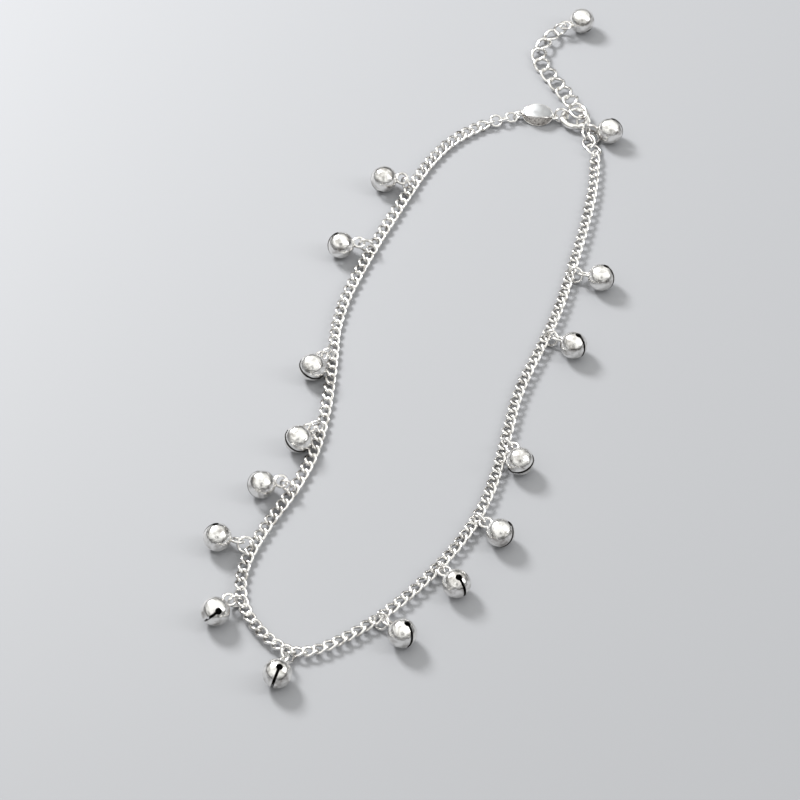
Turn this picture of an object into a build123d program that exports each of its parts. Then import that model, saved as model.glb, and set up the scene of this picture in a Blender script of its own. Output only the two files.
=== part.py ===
from build123d import *

import os
from collections import namedtuple
from math import cos, pi, radians, sin, sqrt, tan

# Charm anklet, lying in a long loop on a flat floor (z = 0), in millimetres.
# +X is to the right and +Y is away, the clasp being at the far end.

os.makedirs("parts", exist_ok=True)

# ------------------------------------------------------------------ sizes
WIRE = 0.40  # jump rings and most links
FLOOR_GAP = 0.02  # between the floor and the lowest wire

CHAIN_DIA = 1.20  # one tube stands for the curb links, which are 1.9 wide
CHAIN_Z = 0.70
LOOP_R = 0.85  # mean radius of the loops in the line of the chain
END_LOOP_R = 0.65  # and of those at the ends of the chain and the extender

CHAIN_END_LEANS = (-45, -45)  # degrees, of the loops at the clasp end and the tag end

EXTENDER_DIA = 1.40  # one tube stands for the tail's links, which are 2.7 wide

JUMP_R = 1.10  # mean radius of a bell's jump ring
JUMP_INSET = 0.10  # how far its wire sits beyond the middle of the chain's loop

BELL_DIA = 4.0
BELL_WALL = 0.25
EYE_R = 0.84  # the bell's own ring, soldered to it
EYE_WIRE = 0.42
EYE_REACH = 2.78  # from the bell's middle to the middle of its eye
EYE_CLIMB = 30  # degrees up round the jump ring to where the eye hangs
SLIT_WIDTH = 0.40
SLIT_END_DIA = 0.95
SLIT_HALF_ANGLE = 72  # the slit runs this far each way from the pole

TAG_CENTRE = (17.48, 44.53, 1.0)
TAG_HEADING = -9.3  # degrees
TAG_LENGTH = 4.7
TAG_WIDTH = 3.0
TAG_HEIGHT = 2.0
TAG_LOOP_R = 0.48
TAG_LOOP_WIRE = 0.35
TAG_LOOP_OUT = 0.30  # from the tag's tip to the middle of its loop

CLASP_CENTRE = (23.3, 43.85, 0.92)
CLASP_R = 1.95  # mean radius of the spring ring
CLASP_TUBE = 0.95
GAP_FROM, GAP_TO = 85, 145  # degrees round the ring
BOLT_DIA = 0.55
BOLT_PLAY = 0.03
BOLT_FROM, BOLT_TO = 66, 151
BOLT_TRAVEL = 60
KNOB_AT = 72
KNOB_DIA = 0.60
KNOB_STEM = 0.26
KNOB_GAP = 0.06
SLOT_MARGIN = 6  # degrees past the stem's middle at each end of its slot

# ----------------------------------------------------------------- routes
# The chain's corners, from the tag end round to the clasp end.
CHAIN_ROUTE = [
    (9.4, 42.7),
    (5.0, 40.3),
    (0.2, 34.0),
    (-4.3, 24.2),
    (-8.4, 15.2),
    (-13.4, 2.1),
    (-13.9, -9.8),
    (-15.2, -21.6),
    (-17.9, -30.4),
    (-23.6, -40.2),
    (-26.1, -47.6),
    (-25.2, -54.0),
    (-20.4, -60.0),
    (-16.2, -60.9),
    (-10.2, -57.5),
    (-4.2, -52.4),
    (1.3, -45.9),
    (5.6, -39.4),
    (8.6, -32.6),
    (10.9, -23.1),
    (12.8, -13.6),
    (16.3, -5.2),
    (19.3, 2.6),
    (21.9, 12.6),
    (24.2, 21.8),
    (25.7, 29.8),
    (26.0, 35.35),
]

# The extender's, from the loop that lies on the clasp to its end bell.
EXTENDER_ROUTE = [
    (23.1, 46.4, 1.65),
    (22.3, 48.8, 1.00),
    (20.8, 51.7, 0.75),
    (18.2, 56.7, 0.75),
    (18.0, 59.4, 0.75),
    (19.3, 62.0, 0.75),
    (20.4, 63.4, 0.75),
]

# One row a bell, from the tag end round to the clasp end:
#   along    place along the chain from the tag end, mm
#   ring_az  the way its jump ring points, degrees (0 = +X, 90 = +Y)
#   lean     of the jump ring from upright, degrees
#   bell_az  the way the bell lies from its ring, degrees
#   pull     how far the eye is drawn along from the ring's wire, mm
#   roll     of the slit about the bell's own axis, degrees from upright
Bell = namedtuple("Bell", "along ring_az lean bell_az pull roll")
BELLS = [
    Bell(19.5, 125, 0, 185, 0.1, 48),
    Bell(33.25, 170, 0, 195, 0.2, 34),
    Bell(56.0, 222, -20, 243, 0.0, 68),
    Bell(70.25, 215, -20, 237, 0.0, 62),
    Bell(82.5, 150, 0, 195, 0.1, 48),
    Bell(94.25, 175, -34, 175, 0.2, 30),
    Bell(104.0, 190, 0, 230, 0.0, -38),
    Bell(115.0, 265, -42, 255, 0.3, -13),
    Bell(128.0, 310, 42, 310, 0.3, -22),
    Bell(140.5, 300, 0, 305, 0.1, 0),
    Bell(150.5, 315, 0, 315, 0.3, -46),
    Bell(165.0, 310, 0, 290, 0.2, 108),
    Bell(186.75, 320, 36, 320, 0.2, -20),
    Bell(200.0, 335, 36, 335, 0.3, -29),
]
LAST_BELL_CENTRE = (28.5, 39.8, 2.0)  # it hangs from a link next to the clasp
LAST_BELL_ROLL = -30
TAIL_BELL = Bell(None, 20, 0, 20, 0.0, -60)  # on the end of the extender

# One row a small link of the clasp area. heading, pitch and lean turn it in
# that order: the way its long axis points, its rise and its roll.
Link = namedtuple("Link", "name x y z heading pitch lean length width wire")
LINKS = [
    Link("tag_link_1", 10.95, 43.38, 0.80, 2, -4, 33, 2.12, 2.12, 0.40),
    Link("tag_link_2", 12.15, 43.73, 0.87, 25, 2, -37, 2.04, 1.60, 0.36),
    Link("tag_link_3", 13.39, 44.07, 0.91, 7, -4, 38, 2.12, 1.72, 0.36),
    Link("tag_link_4", 14.35, 44.51, 0.94, 37, -7, -87, 1.84, 1.84, 0.36),
    Link("clasp_link", 21.15, 44.25, 1.15, 0, -8, 66, 2.48, 2.48, 0.38),
    Link("end_ring", 24.48, 42.48, 1.30, -51, 6, 60, 2.92, 2.92, 0.40),
    Link("chain_link_3", 24.90, 40.50, 1.03, -98, -3, -52, 3.18, 2.02, 0.38),
    Link("chain_link_2", 25.25, 38.65, 0.76, -71, -5, 33, 2.58, 2.28, 0.38),
    Link("chain_link_1", 25.95, 37.00, 0.64, -72, -2, -20, 2.82, 2.62, 0.42),
    Link("jump_ring_15", 26.05, 39.65, 0.90, 67, -6, 40, 2.50, 2.50, 0.40),
]
LAST_EYE = Link("eye", 25.75, 40.40, 1.60, -11, 11, 76, 2.10, 2.10, 0.42)
EXTENDER_START = Link("loop", 23.73, 44.75, 1.67, 112, 0, 0, 3.85, 2.85, 0.45)

UP = Vector(0, 0, 1)


# ---------------------------------------------------------------- helpers
def level(azimuth):
    """Level unit vector that points along an azimuth."""
    return Vector(cos(radians(azimuth)), sin(radians(azimuth)), 0)


def corner_radii(points):
    """Arc radius at each corner: as large as its two runs allow."""
    radii = []
    for before, corner, after in zip(points, points[1:], points[2:]):
        run_in = Vector(*corner) - Vector(*before)
        run_out = Vector(*after) - Vector(*corner)
        half_turn = radians(run_in.get_angle(run_out)) / 2
        radii.append(0.45 * min(run_in.length, run_out.length) / tan(half_turn))
    return radii


def link_plane(link):
    """Plane of a link: its local X is the long axis, its Z is square to it."""
    side = level(link.heading - 90)
    long_axis = level(link.heading) * cos(radians(link.pitch)) + UP * sin(radians(link.pitch))
    upright = side.cross(long_axis)
    normal = upright * cos(radians(link.lean)) + side * sin(radians(link.lean))
    return Plane(origin=(link.x, link.y, link.z), x_dir=long_axis, z_dir=normal)


def make_link(link):
    """Closed wire link: a round ring, or an oval of two arcs and two straights."""
    plane = link_plane(link)
    mean_length = link.length - link.wire
    mean_width = link.width - link.wire
    with BuildPart() as part:
        if mean_length - mean_width < 0.01:
            with Locations(plane):
                Torus(mean_width / 2, link.wire / 2)
        else:
            with BuildSketch(plane, mode=Mode.PRIVATE) as outline:
                SlotOverall(mean_length, mean_width)
            path = outline.sketch.wires()[0]
            with BuildSketch(Plane(origin=path @ 0, z_dir=path % 0)):
                Circle(link.wire / 2)
            sweep(path=path)
    return part


def loop_plane(point, direction, lean):
    """Plane of a loop in a tube's own line, leaning about that line."""
    normal = UP * cos(radians(lean)) + UP.cross(direction) * -sin(radians(lean))
    return Plane(origin=point, x_dir=direction, z_dir=normal)


def tube_with_loops(points, diameter, stations, end_leans):
    """Tube along a route of straight runs and arcs, with loops in its line.

    A level loop at each station opens the tube. One more stands at its last
    end, and at its first if end_leans has two values.
    """
    radii = corner_radii(points)
    with BuildPart() as tube:
        with BuildLine() as line:
            FilletPolyline(*points, radius=radii)
        route = line.wires()[0]
        with BuildSketch(Plane(origin=route @ 0, z_dir=route % 0)):
            Circle(diameter / 2)
        sweep(path=route)
        print("arc radii", [round(r, 1) for r in radii])
        print("length", round(route.length, 2), "volume", round(tube.part.volume, 2))
        print("section x length", round(pi * diameter**2 / 4 * route.length, 2))
        for along in stations:
            with Locations(route.position_at(along, position_mode=PositionMode.LENGTH)):
                Cylinder(LOOP_R, 2 * diameter, mode=Mode.SUBTRACT)
                Cylinder(LOOP_R + WIRE / 2, WIRE)
                Cylinder(LOOP_R - WIRE / 2, 2 * diameter, mode=Mode.SUBTRACT)
        ends = ((route @ 1, route % 1), (route @ 0, route % 0 * -1))
        for (point, outward), lean in zip(ends, end_leans):
            with Locations(loop_plane(point + outward * END_LOOP_R, outward, lean)):
                Torus(END_LOOP_R, WIRE / 2)
    return tube, route


def jump_ring_plane(station, bell, loop_z):
    """Plane of a bell's jump ring, whose wire passes through the chain's loop."""
    lean = radians(bell.lean)
    height = JUMP_R * cos(lean) + WIRE / 2 + FLOOR_GAP
    below = (loop_z - height) / cos(lean)
    out = level(bell.ring_az)
    rise = UP * cos(lean) + UP.cross(out) * sin(lean)
    reach = sqrt(JUMP_R**2 - below**2) - JUMP_INSET
    middle = Vector(station.X, station.Y, loop_z) + out * reach - rise * below
    return Plane(origin=middle, x_dir=out, z_dir=out.cross(rise))


def make_jump_ring(plane):
    with BuildPart() as ring:
        with Locations(plane):
            Torus(JUMP_R, WIRE / 2)
    return ring


def bell_place(ring_plane, bell):
    """Middle of a bell on the floor, and of its eye, and the eye's normal."""
    climb = radians(EYE_CLIMB)
    radial = ring_plane.x_dir * cos(climb) + ring_plane.y_dir * sin(climb)
    eye = ring_plane.origin + radial * JUMP_R + level(bell.bell_az) * bell.pull
    drop = BELL_DIA / 2 - eye.Z
    middle = eye + level(bell.bell_az) * sqrt(EYE_REACH**2 - drop**2) + UP * drop
    ring_wire = ring_plane.z_dir.cross(radial)
    return middle, eye, ring_wire


def make_bell(middle, eye, eye_normal, roll):
    """Hollow bell with its eye soldered on and a slit across the far side."""
    axis = (middle - eye).normalized()
    eye_normal = eye_normal - axis * eye_normal.dot(axis)
    upright = UP - axis * axis.Z
    slit = upright.rotate(Axis((0, 0, 0), axis), roll)
    slit_floor = BELL_DIA / 2 * cos(radians(SLIT_HALF_ANGLE))
    with BuildPart() as part:
        with Locations(Plane(origin=middle, z_dir=axis)):
            Sphere(BELL_DIA / 2)
        with Locations(Plane(origin=eye, z_dir=eye_normal)):
            Torus(EYE_R, EYE_WIRE / 2)
        with Locations(Plane(origin=middle, x_dir=slit, z_dir=axis)):
            Sphere(BELL_DIA / 2 - BELL_WALL, mode=Mode.SUBTRACT)
            with Locations((0, 0, slit_floor)):
                Box(
                    2 * BELL_DIA,
                    SLIT_WIDTH,
                    BELL_DIA,
                    align=(Align.CENTER, Align.CENTER, Align.MIN),
                    mode=Mode.SUBTRACT,
                )
            for side in (-1, 1):
                with Locations(Location((0, 0, 0), (0, side * SLIT_HALF_ANGLE, 0))):
                    Cylinder(
                        SLIT_END_DIA / 2,
                        BELL_DIA,
                        align=(Align.CENTER, Align.CENTER, Align.MIN),
                        mode=Mode.SUBTRACT,
                    )
    return part


def save(builder, name):
    builder.part.label = name
    export_step(builder.part, f"parts/{name}.step")


def save_bell(station, bell, loop_z, number):
    plane = jump_ring_plane(station, bell, loop_z)
    save(make_jump_ring(plane), f"jump_ring_{number:02d}")
    save(make_bell(*bell_place(plane, bell), bell.roll), f"bell_{number:02d}")


# ------------------------------------------------------- chain and bells
chain_corners = [(x, y, CHAIN_Z) for x, y in CHAIN_ROUTE]
chain_stations = [bell.along for bell in BELLS]
chain, chain_path = tube_with_loops(chain_corners, CHAIN_DIA, chain_stations, CHAIN_END_LEANS)
save(chain, "chain")
for number, bell in enumerate(BELLS, start=1):
    station = chain_path.position_at(bell.along, position_mode=PositionMode.LENGTH)
    save_bell(station, bell, CHAIN_Z, number)

# ------------------------------------------------------------ small links
for link in LINKS:
    save(make_link(link), link.name)
last_eye = link_plane(LAST_EYE)
last_bell = make_bell(
    Vector(*LAST_BELL_CENTRE), last_eye.origin, last_eye.z_dir, LAST_BELL_ROLL
)
save(last_bell, f"bell_{len(BELLS) + 1:02d}")

# --------------------------------------------------------------- extender
extender_tube, extender_path = tube_with_loops(EXTENDER_ROUTE, EXTENDER_DIA, [], [0])
with BuildPart() as extender:
    add(extender_tube.part)
    add(make_link(EXTENDER_START).part)
save(extender, "extender")
tail_end = extender_path @ 1 + extender_path % 1 * END_LOOP_R
save_bell(tail_end, TAIL_BELL, tail_end.Z, len(BELLS) + 2)

# -------------------------------------------------------------------- tag
tag_top = Plane(origin=TAG_CENTRE, x_dir=level(TAG_HEADING), z_dir=UP)
tag_side = Plane(origin=TAG_CENTRE, x_dir=tag_top.x_dir, z_dir=-tag_top.y_dir)
with BuildPart() as tag:
    with BuildSketch(tag_top):
        Ellipse(TAG_LENGTH / 2, TAG_WIDTH / 2)
    extrude(amount=TAG_HEIGHT, both=True)
    with BuildSketch(tag_side):
        Ellipse(TAG_LENGTH / 2, TAG_HEIGHT / 2)
    extrude(amount=TAG_WIDTH, both=True, mode=Mode.INTERSECT)
    with Locations(tag_top):
        for side in (-1, 1):
            with Locations((side * (TAG_LENGTH / 2 + TAG_LOOP_OUT), 0, 0)):
                Torus(TAG_LOOP_R, TAG_LOOP_WIRE / 2)
save(tag, "tag")

# ------------------------------------------------------ clasp and trigger
clasp_plane = Plane(origin=CLASP_CENTRE)


def arc_tube(diameter, start, end, mode=Mode.ADD):
    """Tube along the clasp's circle from one angle to another."""
    with BuildLine(clasp_plane, mode=Mode.PRIVATE) as line:
        CenterArc((0, 0), CLASP_R, start, end - start)
    path = line.wires()[0]
    with BuildSketch(Plane(origin=path @ 0, z_dir=path % 0), mode=Mode.PRIVATE) as section:
        Circle(diameter / 2)
    sweep(section.sketch, path=path, mode=mode)


channel_dia = BOLT_DIA + 2 * BOLT_PLAY
slot_height = KNOB_STEM + 2 * BOLT_PLAY
with BuildPart() as clasp:
    arc_tube(CLASP_TUBE, GAP_TO, GAP_FROM + 360)
    arc_tube(channel_dia, BOLT_FROM - BOLT_TRAVEL - 4, GAP_FROM + 1, Mode.SUBTRACT)
    arc_tube(channel_dia, GAP_TO - 1, BOLT_TO + 3, Mode.SUBTRACT)
    with BuildSketch(clasp_plane.offset(-slot_height / 2)):
        Circle(CLASP_R + CLASP_TUBE)
        Circle(CLASP_R, mode=Mode.SUBTRACT)
        with BuildLine():
            Polyline(
                (0, 0),
                level(KNOB_AT - BOLT_TRAVEL - SLOT_MARGIN) * 2 * CLASP_R,
                level(KNOB_AT - BOLT_TRAVEL / 2) * 3 * CLASP_R,
                level(KNOB_AT + SLOT_MARGIN) * 2 * CLASP_R,
                (0, 0),
            )
        make_face(mode=Mode.INTERSECT)
    extrude(amount=slot_height, mode=Mode.SUBTRACT)
save(clasp, "clasp")

with BuildPart() as trigger:
    arc_tube(BOLT_DIA, BOLT_FROM, BOLT_TO)
    knob_out = level(KNOB_AT)
    stem_foot = Vector(*CLASP_CENTRE) + knob_out * CLASP_R
    knob_reach = CLASP_TUBE / 2 + KNOB_GAP
    with Locations(Plane(origin=stem_foot, z_dir=knob_out)):
        Cylinder(KNOB_STEM / 2, knob_reach + KNOB_DIA / 2, align=(Align.CENTER, Align.CENTER, Align.MIN))
        with Locations((0, 0, knob_reach + KNOB_DIA / 2)):
            Sphere(KNOB_DIA / 2)
save(trigger, "trigger")
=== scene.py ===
"""Silver charm anklet, laid out on a plain floor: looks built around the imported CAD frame."""

import math
import random

import bpy
import numpy as np
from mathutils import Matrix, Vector


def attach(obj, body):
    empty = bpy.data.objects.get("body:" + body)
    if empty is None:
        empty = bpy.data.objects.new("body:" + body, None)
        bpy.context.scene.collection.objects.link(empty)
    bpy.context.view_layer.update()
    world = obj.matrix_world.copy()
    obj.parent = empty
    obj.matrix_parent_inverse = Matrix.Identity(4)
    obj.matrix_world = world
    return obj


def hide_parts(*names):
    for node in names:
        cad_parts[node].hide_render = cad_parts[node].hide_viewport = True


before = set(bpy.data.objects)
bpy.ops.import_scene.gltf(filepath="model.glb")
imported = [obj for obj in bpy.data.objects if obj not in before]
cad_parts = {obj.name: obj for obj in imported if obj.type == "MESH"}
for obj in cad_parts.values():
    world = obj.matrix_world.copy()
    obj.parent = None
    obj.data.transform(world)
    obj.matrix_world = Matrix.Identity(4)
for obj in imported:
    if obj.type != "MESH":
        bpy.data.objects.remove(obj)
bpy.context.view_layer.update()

MM = 0.001
UP = Vector((0, 0, 1))
JITTER = random.Random(7)

# ------------------------------------------------------------ the two chains
# The corners of the chain's route are those in part.py, in metres, from the
# tag end round to the clasp end. The extender's run from the end ring to the
# tail's end bell. Where the two lie on the floor, they run a little above
# their CAD tubes, so that the links clear it.
CHAIN_ROUTE = [
    (0.0094, 0.0427),
    (0.0050, 0.0403),
    (0.0002, 0.0340),
    (-0.0043, 0.0242),
    (-0.0084, 0.0152),
    (-0.0134, 0.0021),
    (-0.0139, -0.0098),
    (-0.0152, -0.0216),
    (-0.0179, -0.0304),
    (-0.0236, -0.0402),
    (-0.0261, -0.0476),
    (-0.0252, -0.0540),
    (-0.0204, -0.0600),
    (-0.0162, -0.0609),
    (-0.0102, -0.0575),
    (-0.0042, -0.0524),
    (0.0013, -0.0459),
    (0.0056, -0.0394),
    (0.0086, -0.0326),
    (0.0109, -0.0231),
    (0.0128, -0.0136),
    (0.0163, -0.0052),
    (0.0193, 0.0026),
    (0.0219, 0.0126),
    (0.0242, 0.0218),
    (0.0257, 0.0298),
    (0.0260, 0.03535),
]
CHAIN_Z = 0.76 * MM
CHAIN_BELLS = 14  # those that hang on the chain: bell_15 and bell_16 don't
CHAIN_PITCH = 1.48 * MM
CHAIN_LINK = dict(length=2.44 * MM, width=1.90 * MM, wire=0.45 * MM, twist=-42)
# How far along, in mm, and the degrees that the flat of the chain leans over there.
CHAIN_ROLLS = ((0, -24), (60, -22), (95, -12), (140, -8), (170, -20), (230, -30))
CHAIN_ROLL_JITTER = 4
END_LOOP = dict(radius=0.65 * MM, wire=0.4 * MM)
END_LOOP_LEAN = -45
END_LINK_INSET = 0.54 * MM  # middle of the first curb link from the route's end

EXTENDER_ROUTE = [
    (0.02373, 0.04475, 0.00167),
    (0.0231, 0.0464, 0.00165),
    (0.0223, 0.0488, 0.00100),
    (0.0208, 0.0517, 0.00080),
    (0.0182, 0.0567, 0.00080),
    (0.0180, 0.0594, 0.00080),
    (0.0193, 0.0620, 0.00080),
    (0.0204, 0.0634, 0.00080),
]
EXTENDER_OVAL = dict(length=3.85 * MM, width=2.85 * MM, wire=0.45 * MM, twist=0)
EXTENDER_LINK = dict(length=3.30 * MM, width=2.70 * MM, wire=0.50 * MM, twist=27)
EXTENDER_LINKS = 8
EXTENDER_START = 3.0 * MM  # middle of the first twisted link from the route's start
EXTENDER_INSET = 0.35 * MM  # middle of the last one from the route's end
EXTENDER_ROLL = -12
EXTENDER_ROLL_JITTER = 5

ROUTE_ORDER = 3
ROUTE_STEPS = 24  # points on the smooth line for each corner
WAY_REACH = 0.3 * MM  # a line's direction is taken over this much on either side
LOOP_POINTS = 36  # round a link
WIRE_POINTS = 12  # round its wire


def route_points(name, corners):
    """Points close together on the smooth NURBS line that a route's corners steer."""
    curve = bpy.data.curves.new(name, "CURVE")
    curve.dimensions = "3D"
    spline = curve.splines.new("NURBS")
    spline.points.add(len(corners) - 1)
    for point, corner in zip(spline.points, corners):
        point.co = (*corner, 1)
    spline.order_u = ROUTE_ORDER
    spline.use_endpoint_u = True
    spline.resolution_u = ROUTE_STEPS
    holder = bpy.data.objects.new(name, curve)
    mesh = bpy.data.meshes.new_from_object(holder)
    points = np.array([vertex.co[:] for vertex in mesh.vertices])
    bpy.data.objects.remove(holder)
    bpy.data.meshes.remove(mesh)
    return points


class Line:
    """A polyline with places along it, in metres from its start."""

    def __init__(self, points):
        self.points = points
        steps = np.linalg.norm(np.diff(points, axis=0), axis=1)
        self.along = np.concatenate([[0], np.cumsum(steps)])
        self.length = self.along[-1]

    def point(self, s):
        """Point at s, which lies on the line."""
        return np.array([np.interp(s, self.along, self.points[:, k]) for k in range(3)])

    def at(self, s):
        """Point and direction at s, which may run past either end in a straight line."""
        inside = min(max(s, 0), self.length)
        ahead = self.point(min(inside + WAY_REACH, self.length))
        behind = self.point(max(inside - WAY_REACH, 0))
        way = ahead - behind
        way /= np.linalg.norm(way)
        return Vector(self.point(inside) + way * (s - inside)), Vector(way)

    def crossing(self, vertices):
        """Where along the line it passes nearest to some vertices."""
        gaps = [np.min(np.sum((vertices - point) ** 2, axis=1)) for point in self.points]
        return self.along[int(np.argmin(gaps))]


def wire_loop(path, wire):
    """Vertices and quads of round wire along a closed path."""
    count = len(path)
    ways = np.roll(path, -1, axis=0) - np.roll(path, 1, axis=0)
    ways /= np.linalg.norm(ways, axis=1)[:, None]
    side = np.cross(ways, [0.0, 0.0, 1.0])
    side /= np.linalg.norm(side, axis=1)[:, None]
    upright = np.cross(side, ways)
    turns = np.linspace(0, 2 * np.pi, WIRE_POINTS, endpoint=False)
    rings = [
        path + wire / 2 * (np.cos(turn) * side + np.sin(turn) * upright) for turn in turns
    ]
    vertices = np.stack(rings, axis=1).reshape(-1, 3)
    quads = []
    for i in range(count):
        here, there = i * WIRE_POINTS, (i + 1) % count * WIRE_POINTS
        for j in range(WIRE_POINTS):
            m = (j + 1) % WIRE_POINTS
            quads.append((here + j, there + j, there + m, here + m))
    return vertices, np.array(quads)


def twisted_link(length, width, wire, twist, squareness=2.2):
    """An oval wire link twisted about its long axis."""
    reach, half = (length - wire) / 2, (width - wire) / 2
    angles = np.linspace(0, 2 * np.pi, LOOP_POINTS, endpoint=False)
    power = 2 / squareness
    x = reach * np.sign(np.cos(angles)) * np.abs(np.cos(angles)) ** power
    y = half * np.sign(np.sin(angles)) * np.abs(np.sin(angles)) ** power
    turn = np.radians(twist) * x / reach
    path = np.stack([x, y * np.cos(turn), y * np.sin(turn)], axis=1)
    return wire_loop(path, wire)


def flat_loop(radius, wire):
    """A round wire ring."""
    angles = np.linspace(0, 2 * np.pi, LOOP_POINTS, endpoint=False)
    path = np.stack([radius * np.cos(angles), radius * np.sin(angles), 0 * angles], axis=1)
    return wire_loop(path, wire)


def placed(shape, point, way, roll):
    """A link's vertices and quads at a point, its long axis along way, rolled about it."""
    vertices, quads = shape
    side = UP.cross(way).normalized()
    upright = way.cross(side)
    lean = math.radians(roll)
    normal = upright * math.cos(lean) - side * math.sin(lean)
    across = normal.cross(way)
    turn = np.array([way, across, normal]).T
    return vertices @ turn.T + np.array(point), quads


def joined(name, shapes, body, replaced, material):
    """One piece made of several closed shapes."""
    vertices, quads, count = [], [], 0
    for shape_vertices, shape_quads in shapes:
        vertices.append(shape_vertices)
        quads.append(shape_quads + count)
        count += len(shape_vertices)
    mesh = bpy.data.meshes.new(name)
    mesh.from_pydata(np.concatenate(vertices).tolist(), [], np.concatenate(quads).tolist())
    mesh.shade_smooth()
    mesh.materials.append(material)
    piece = bpy.data.objects.new(name, mesh)
    bpy.context.scene.collection.objects.link(piece)
    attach(piece, body)
    if replaced:
        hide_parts(*replaced)


# ---------------------------------------------------------------- materials
TINT = (0.90, 0.89, 0.87)
TARNISH = (0.42, 0.40, 0.38)
TARNISH_AND_SHADE_RAMP = (0.30, 0.52)  # smudge values that are all patch colour, and none; the patches are tarnished spots, and in the bell insides and on the tag's sides painted shade
GLOSS_RANGE = (0.6, 1.5)  # shares of a material's roughness, from its smudges
DENT_DEPTH = 0.1 * MM
DENT_DETAIL = 3
SMUDGE_SCALE = 900
SMUDGE_DETAIL = 4


def new_material(name):
    """A material with its node tree and its shader node."""
    material = bpy.data.materials.new(name)
    material.use_nodes = True
    tree = material.node_tree
    return material, tree, tree.nodes["Principled BSDF"]


def noise(tree, scale, detail):
    """Noise fixed to the object, and its value's socket."""
    where = tree.nodes.new("ShaderNodeTexCoord")
    texture = tree.nodes.new("ShaderNodeTexNoise")
    texture.inputs["Scale"].default_value = scale
    texture.inputs["Detail"].default_value = detail
    tree.links.new(where.outputs["Object"], texture.inputs["Vector"])
    return texture.outputs["Fac"]


def ramp(tree, positions, colours):
    """A colour ramp node with two stops."""
    node = tree.nodes.new("ShaderNodeValToRGB")
    for stop, position, colour in zip(node.color_ramp.elements, positions, colours):
        stop.position = position
        stop.color = (*colour, 1)
    return node


def silver(
    name, roughness, dent_scale, dents, tint=TINT, tarnish_and_painted_shade=TARNISH, smudge_scale=SMUDGE_SCALE
):
    """Polished silver with faint dents and patches of a second colour. The patches are
    tarnished spots; for the bell insides and the tag's sides the colours passed in are painted
    shade.
    """
    material, tree, shader = new_material(name)
    shader.inputs["Metallic"].default_value = 1.0
    dent = noise(tree, dent_scale, DENT_DETAIL)
    smudge = noise(tree, smudge_scale, SMUDGE_DETAIL)

    colour = ramp(tree, TARNISH_AND_SHADE_RAMP, (tarnish_and_painted_shade, tint))
    tree.links.new(smudge, colour.inputs["Fac"])
    tree.links.new(colour.outputs["Color"], shader.inputs["Base Color"])

    gloss = tree.nodes.new("ShaderNodeMapRange")
    gloss.inputs["To Min"].default_value = roughness * GLOSS_RANGE[0]
    gloss.inputs["To Max"].default_value = roughness * GLOSS_RANGE[1]
    tree.links.new(smudge, gloss.inputs["Value"])
    tree.links.new(gloss.outputs["Result"], shader.inputs["Roughness"])

    relief = tree.nodes.new("ShaderNodeBump")
    relief.inputs["Strength"].default_value = dents
    relief.inputs["Distance"].default_value = DENT_DEPTH
    tree.links.new(dent, relief.inputs["Height"])
    tree.links.new(relief.outputs["Normal"], shader.inputs["Normal"])
    return material


link_silver = silver("link_silver", roughness=0.18, dent_scale=1600, dents=0.15)
bell_silver = silver("bell_silver", roughness=0.20, dent_scale=1500, dents=0.9)
# Painted shade: the bells' insides and slit walls are silver coloured near-black, standing in
# for the shade inside a bell.
bell_inside_painted_shade = silver(
    "bell_inside_painted_shade",
    roughness=0.55,
    dent_scale=900,
    dents=0.2,
    tint=(0.10, 0.095, 0.09),
    tarnish_and_painted_shade=(0.03, 0.03, 0.03),
)
tag_satin = silver(
    "tag_satin",
    roughness=0.42,
    dent_scale=2500,
    dents=0.15,
    tint=(0.50, 0.51, 0.52),
    tarnish_and_painted_shade=(0.42, 0.42, 0.43),
)
# The tag's sides: a real pebbled bump, with dark spots in the colour that are painted shade, a
# painted dark reflection of the floor.
tag_pebbled_painted_shade = silver(
    "tag_pebbled_painted_shade",
    roughness=0.30,
    dent_scale=3800,
    dents=1.0,
    tint=(0.70, 0.66, 0.61),
    tarnish_and_painted_shade=(0.10, 0.08, 0.07),
    smudge_scale=3800,
)
clasp_silver = silver("clasp_silver", roughness=0.12, dent_scale=1200, dents=0.12)

# ---------------------------------------------------------------- the chain
chain_line = Line(route_points("chain_route", [(x, y, CHAIN_Z) for x, y in CHAIN_ROUTE]))


def node_vertices(name):
    """The vertices of a CAD piece, one a row."""
    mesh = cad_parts[name].data
    found = np.zeros(len(mesh.vertices) * 3)
    mesh.vertices.foreach_get("co", found)
    return found.reshape(-1, 3)


def stations():
    """Middles of the end links, and between them where the bells' rings cross the chain."""
    rings = [f"jump_ring_{n:02d}" for n in range(1, CHAIN_BELLS + 1)]
    found = [chain_line.crossing(node_vertices(ring)) for ring in rings]
    return [END_LINK_INSET, *found, chain_line.length - END_LINK_INSET]


def chain_roll(s):
    """Degrees that the curb link at s leans over."""
    along, rolls = zip(*CHAIN_ROLLS)
    jitter = JITTER.uniform(-CHAIN_ROLL_JITTER, CHAIN_ROLL_JITTER)
    return float(np.interp(s / MM, along, rolls)) + jitter


def chain_links():
    """The curb links, with a round loop past each end."""
    link = twisted_link(**CHAIN_LINK)
    shapes = []
    marks = stations()
    for start, end in zip(marks, marks[1:]):
        count = max(1, round((end - start) / CHAIN_PITCH))
        for n in range(count):
            s = start + (end - start) * n / count
            shapes.append(placed(link, *chain_line.at(s), chain_roll(s)))
    shapes.append(placed(link, *chain_line.at(marks[-1]), chain_roll(marks[-1])))
    loop = flat_loop(**END_LOOP)
    out = END_LOOP["radius"]
    for s, outward in ((-out, -1), (chain_line.length + out, 1)):
        point, way = chain_line.at(s)
        shapes.append(placed(loop, point, way * outward, END_LOOP_LEAN))
    return shapes


joined("chain_links", chain_links(), "anklet", ["chain"], link_silver)

# -------------------------------------------------------------- the extender
extender_line = Line(route_points("extender_route", EXTENDER_ROUTE))


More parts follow.
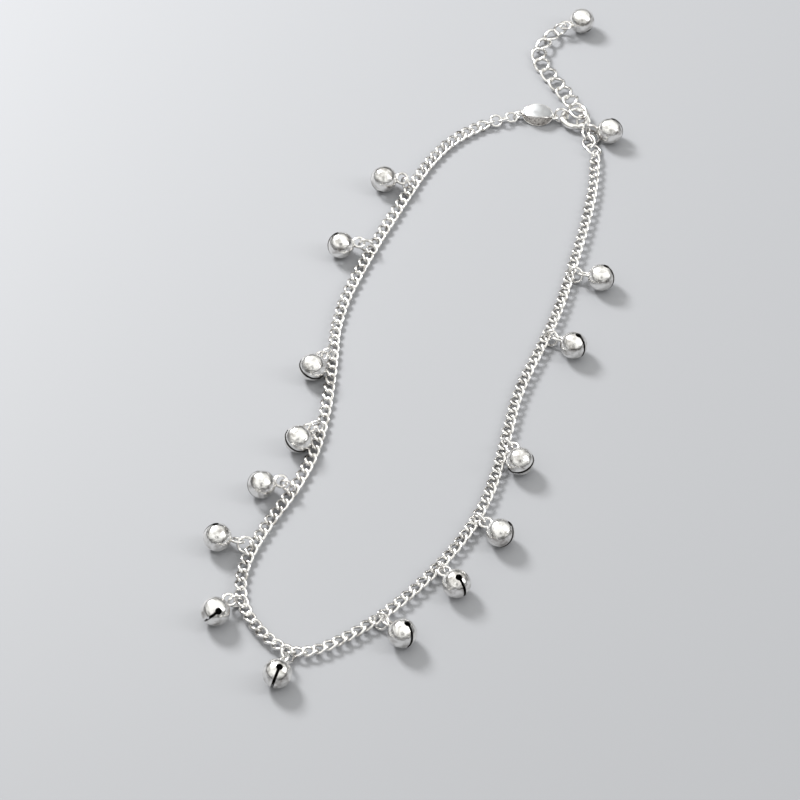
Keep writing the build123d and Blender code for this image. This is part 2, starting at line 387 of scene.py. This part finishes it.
def extender_links():
    """A flat oval on the end ring, then the tail's twisted links."""
    shapes = [placed(twisted_link(**EXTENDER_OVAL), *extender_line.at(0), 0)]
    link = twisted_link(**EXTENDER_LINK)
    reach = extender_line.length - EXTENDER_INSET - EXTENDER_START
    for n in range(EXTENDER_LINKS):
        point, way = extender_line.at(EXTENDER_START + reach * n / (EXTENDER_LINKS - 1))
        jitter = JITTER.uniform(-EXTENDER_ROLL_JITTER, EXTENDER_ROLL_JITTER)
        shapes.append(placed(link, point, way, EXTENDER_ROLL + jitter))
    return shapes


joined("extender_links", extender_links(), "anklet", ["extender"], link_silver)


# --------------------------------------------------------------- CAD pieces
CRISP_ANGLE = math.radians(35)  # sharper edges than this are split
BELL_R = 2.0 * MM
BELL_CAP = 0.885  # above this share of a bell's radius only its outer shell has vertices
BELL_SKIN = 0.985  # faces nearer to the middle than this share, the inside and the slit walls, get the painted shade


def finish_node(name, *materials):
    """Give a CAD piece its finish, with crisp edges where its faces meet."""
    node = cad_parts[name]
    node.data.materials.clear()
    for material in materials:
        node.data.materials.append(material)
    crisp = node.modifiers.new("crisp", "EDGE_SPLIT")
    crisp.split_angle = CRISP_ANGLE
    return node


def bell_middle(name):
    """Middle of a bell's round shell, fitted to the vertices of its cap."""
    vertices = node_vertices(name)
    height = vertices[:, 2] - BELL_R
    cap = vertices[height > BELL_CAP * BELL_R]
    rows = np.column_stack([2 * cap[:, :2], -np.ones(len(cap))])
    sums = np.sum(cap[:, :2] ** 2, axis=1) + (cap[:, 2] - BELL_R) ** 2 - BELL_R**2
    x, y, _ = np.linalg.lstsq(rows, sums, rcond=None)[0]
    return Vector((x, y, BELL_R))


def finish_bell(name):
    """Polished outside; dull inside and slit edges, coloured near-black as painted shade for
    the shade that falls in them.
    """
    node = finish_node(name, bell_silver, bell_inside_painted_shade)
    middle = bell_middle(name)
    # the inner faces and slit walls take the painted shade
    for face in node.data.polygons:
        if (face.center - middle).length < BELL_SKIN * BELL_R:
            face.material_index = 1


# The tag as in part.py: its middle, heading and sizes.
TAG_CENTRE = Vector((17.48, 44.53, 1.0)) * MM
TAG_HEADING = math.radians(-9.3)
TAG_WAY = Vector((math.cos(TAG_HEADING), math.sin(TAG_HEADING), 0))
TAG_LENGTH = 4.7 * MM
TAG_WIDTH = 3.0 * MM
TAG_HEIGHT = 2.0 * MM
TAG_SIDE_SLOPE = 0.5  # its side faces, which get the pebbling and the painted shade, are those whose normals rise less than this
RIM_WIRE = 0.24 * MM
RIM_SCALE = (0.985, 0.95, 0.89)  # of the tag's edges, so that the rims sink into it
RIM_POINTS = 41  # along each side of the tag
RIM_TIP = 0.06  # radians left out at each tip, where the two sides meet


def finish_tag():
    """Satin above and below, pebbled round the side with painted shade in its colour, polished
    loops.
    """
    node = finish_node("tag", tag_satin, tag_pebbled_painted_shade, link_silver)
    for face in node.data.polygons:
        if abs((face.center - TAG_CENTRE).dot(TAG_WAY)) > TAG_LENGTH / 2:
            face.material_index = 2
        # side faces take the pebbled bump and its painted shade
        elif abs(face.normal.z) < TAG_SIDE_SLOPE:
            face.material_index = 1


def oval(width, x):
    """How far out an edge of the tag lies at x along it."""
    return width / 2 * np.sqrt(1 - (2 * x / TAG_LENGTH) ** 2)


def tag_rims():
    """The raised bright rims along the tag's upper and lower edges."""
    x = -TAG_LENGTH / 2 * np.cos(np.linspace(RIM_TIP, np.pi - RIM_TIP, RIM_POINTS))
    y, z = oval(TAG_WIDTH, x), oval(TAG_HEIGHT, x)
    rims = []
    for side in (1, -1):
        front = np.column_stack([x, -y, side * z])
        back = np.column_stack([x, y, side * z])[::-1]
        path = np.concatenate([front, back]) * RIM_SCALE
        rims.append(placed(wire_loop(path, RIM_WIRE), TAG_CENTRE, TAG_WAY, 0))
    return rims


finish_tag()
joined("tag_rims", tag_rims(), "anklet", [], link_silver)

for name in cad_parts:
    if name.startswith("bell"):
        finish_bell(name)
    elif name in ("clasp", "trigger"):
        finish_node(name, clasp_silver)
    elif name not in ("chain", "extender", "tag"):
        finish_node(name, link_silver)


# -------------------------------------------------------------- the studio
FLOOR_REACH = 1.5
FLOOR_COLOUR = (0.30, 0.305, 0.32)
FLOOR_ROUGHNESS = 0.6

ELEVATION = math.radians(48)
CAMERA_SIDE = Vector((0, -math.cos(ELEVATION), math.sin(ELEVATION)))
CAMERA_TARGET = Vector((-4.0, -14.4, 0)) * MM
CAMERA_DISTANCE = 460.4 * MM
CAMERA_LENS = 144
CAMERA_SENSOR = 36
CAMERA_CLIP = 0.01

SKY_RAMP = (0.10, 0.62)
SKY_COLOURS = ((0.06, 0.06, 0.063), (1.15, 1.15, 1.12))  # low down, and overhead
PATCH_OUTER = math.radians(17)
PATCH_INNER = math.radians(9)
PATCH_SHARE = 0.22  # of the sky's strength, in the middle of the dark patch


def make_floor():
    """A plain pale floor."""
    mesh = bpy.data.meshes.new("floor")
    signs = ((-1, -1), (1, -1), (1, 1), (-1, 1))
    corners = [(x * FLOOR_REACH, y * FLOOR_REACH, 0) for x, y in signs]
    mesh.from_pydata(corners, [], [(0, 1, 2, 3)])
    floor = bpy.data.objects.new("floor", mesh)
    bpy.context.scene.collection.objects.link(floor)
    material, _, shader = new_material("floor")
    shader.inputs["Base Color"].default_value = (*FLOOR_COLOUR, 1)
    shader.inputs["Roughness"].default_value = FLOOR_ROUGHNESS
    mesh.materials.append(material)


def area_light(name, place, size, power):
    """A rectangular lamp that shines at the middle of the floor."""
    data = bpy.data.lights.new(name, "AREA")
    data.shape = "RECTANGLE"
    data.size, data.size_y = size
    data.energy = power
    light = bpy.data.objects.new(name, data)
    light.location = place
    light.rotation_euler = (-Vector(place)).to_track_quat("-Z", "Y").to_euler()
    bpy.context.scene.collection.objects.link(light)


def make_camera():
    """Looks down at the anklet from 48 degrees, as the photograph does."""
    data = bpy.data.cameras.new("camera")
    data.lens = CAMERA_LENS
    data.sensor_width = CAMERA_SENSOR
    data.clip_start = CAMERA_CLIP
    camera = bpy.data.objects.new("camera", data)
    camera.location = CAMERA_TARGET + CAMERA_DISTANCE * CAMERA_SIDE
    camera.rotation_euler = (math.radians(90) - ELEVATION, 0, 0)
    bpy.context.scene.collection.objects.link(camera)
    bpy.context.scene.camera = camera


def make_world():
    """A sky that brightens upward, with a dark patch where the camera stands."""
    world = bpy.data.worlds.new("studio")
    world.use_nodes = True
    tree = world.node_tree
    shade = tree.nodes["Background"]
    where = tree.nodes.new("ShaderNodeTexCoord")
    split = tree.nodes.new("ShaderNodeSeparateXYZ")
    sky = ramp(tree, SKY_RAMP, SKY_COLOURS)
    tree.links.new(where.outputs["Generated"], split.inputs["Vector"])
    tree.links.new(split.outputs["Z"], sky.inputs["Fac"])
    tree.links.new(sky.outputs["Color"], shade.inputs["Color"])

    toward = tree.nodes.new("ShaderNodeVectorMath")
    toward.operation = "DOT_PRODUCT"
    toward.inputs[1].default_value = CAMERA_SIDE
    tree.links.new(where.outputs["Generated"], toward.inputs[0])
    patch = tree.nodes.new("ShaderNodeMapRange")
    patch.inputs["From Min"].default_value = math.cos(PATCH_OUTER)
    patch.inputs["From Max"].default_value = math.cos(PATCH_INNER)
    patch.inputs["To Min"].default_value = 1.0
    patch.inputs["To Max"].default_value = PATCH_SHARE
    tree.links.new(toward.outputs["Value"], patch.inputs["Value"])
    tree.links.new(patch.outputs["Result"], shade.inputs["Strength"])
    bpy.context.scene.world = world


bpy.context.scene.view_settings.view_transform = "Standard"
make_floor()
make_world()
area_light("key", place=(-0.22, 0.26, 0.30), size=(0.12, 0.12), power=2.6)
area_light("fill", place=(0.35, -0.05, 0.30), size=(0.10, 0.30), power=0.6)
make_camera()
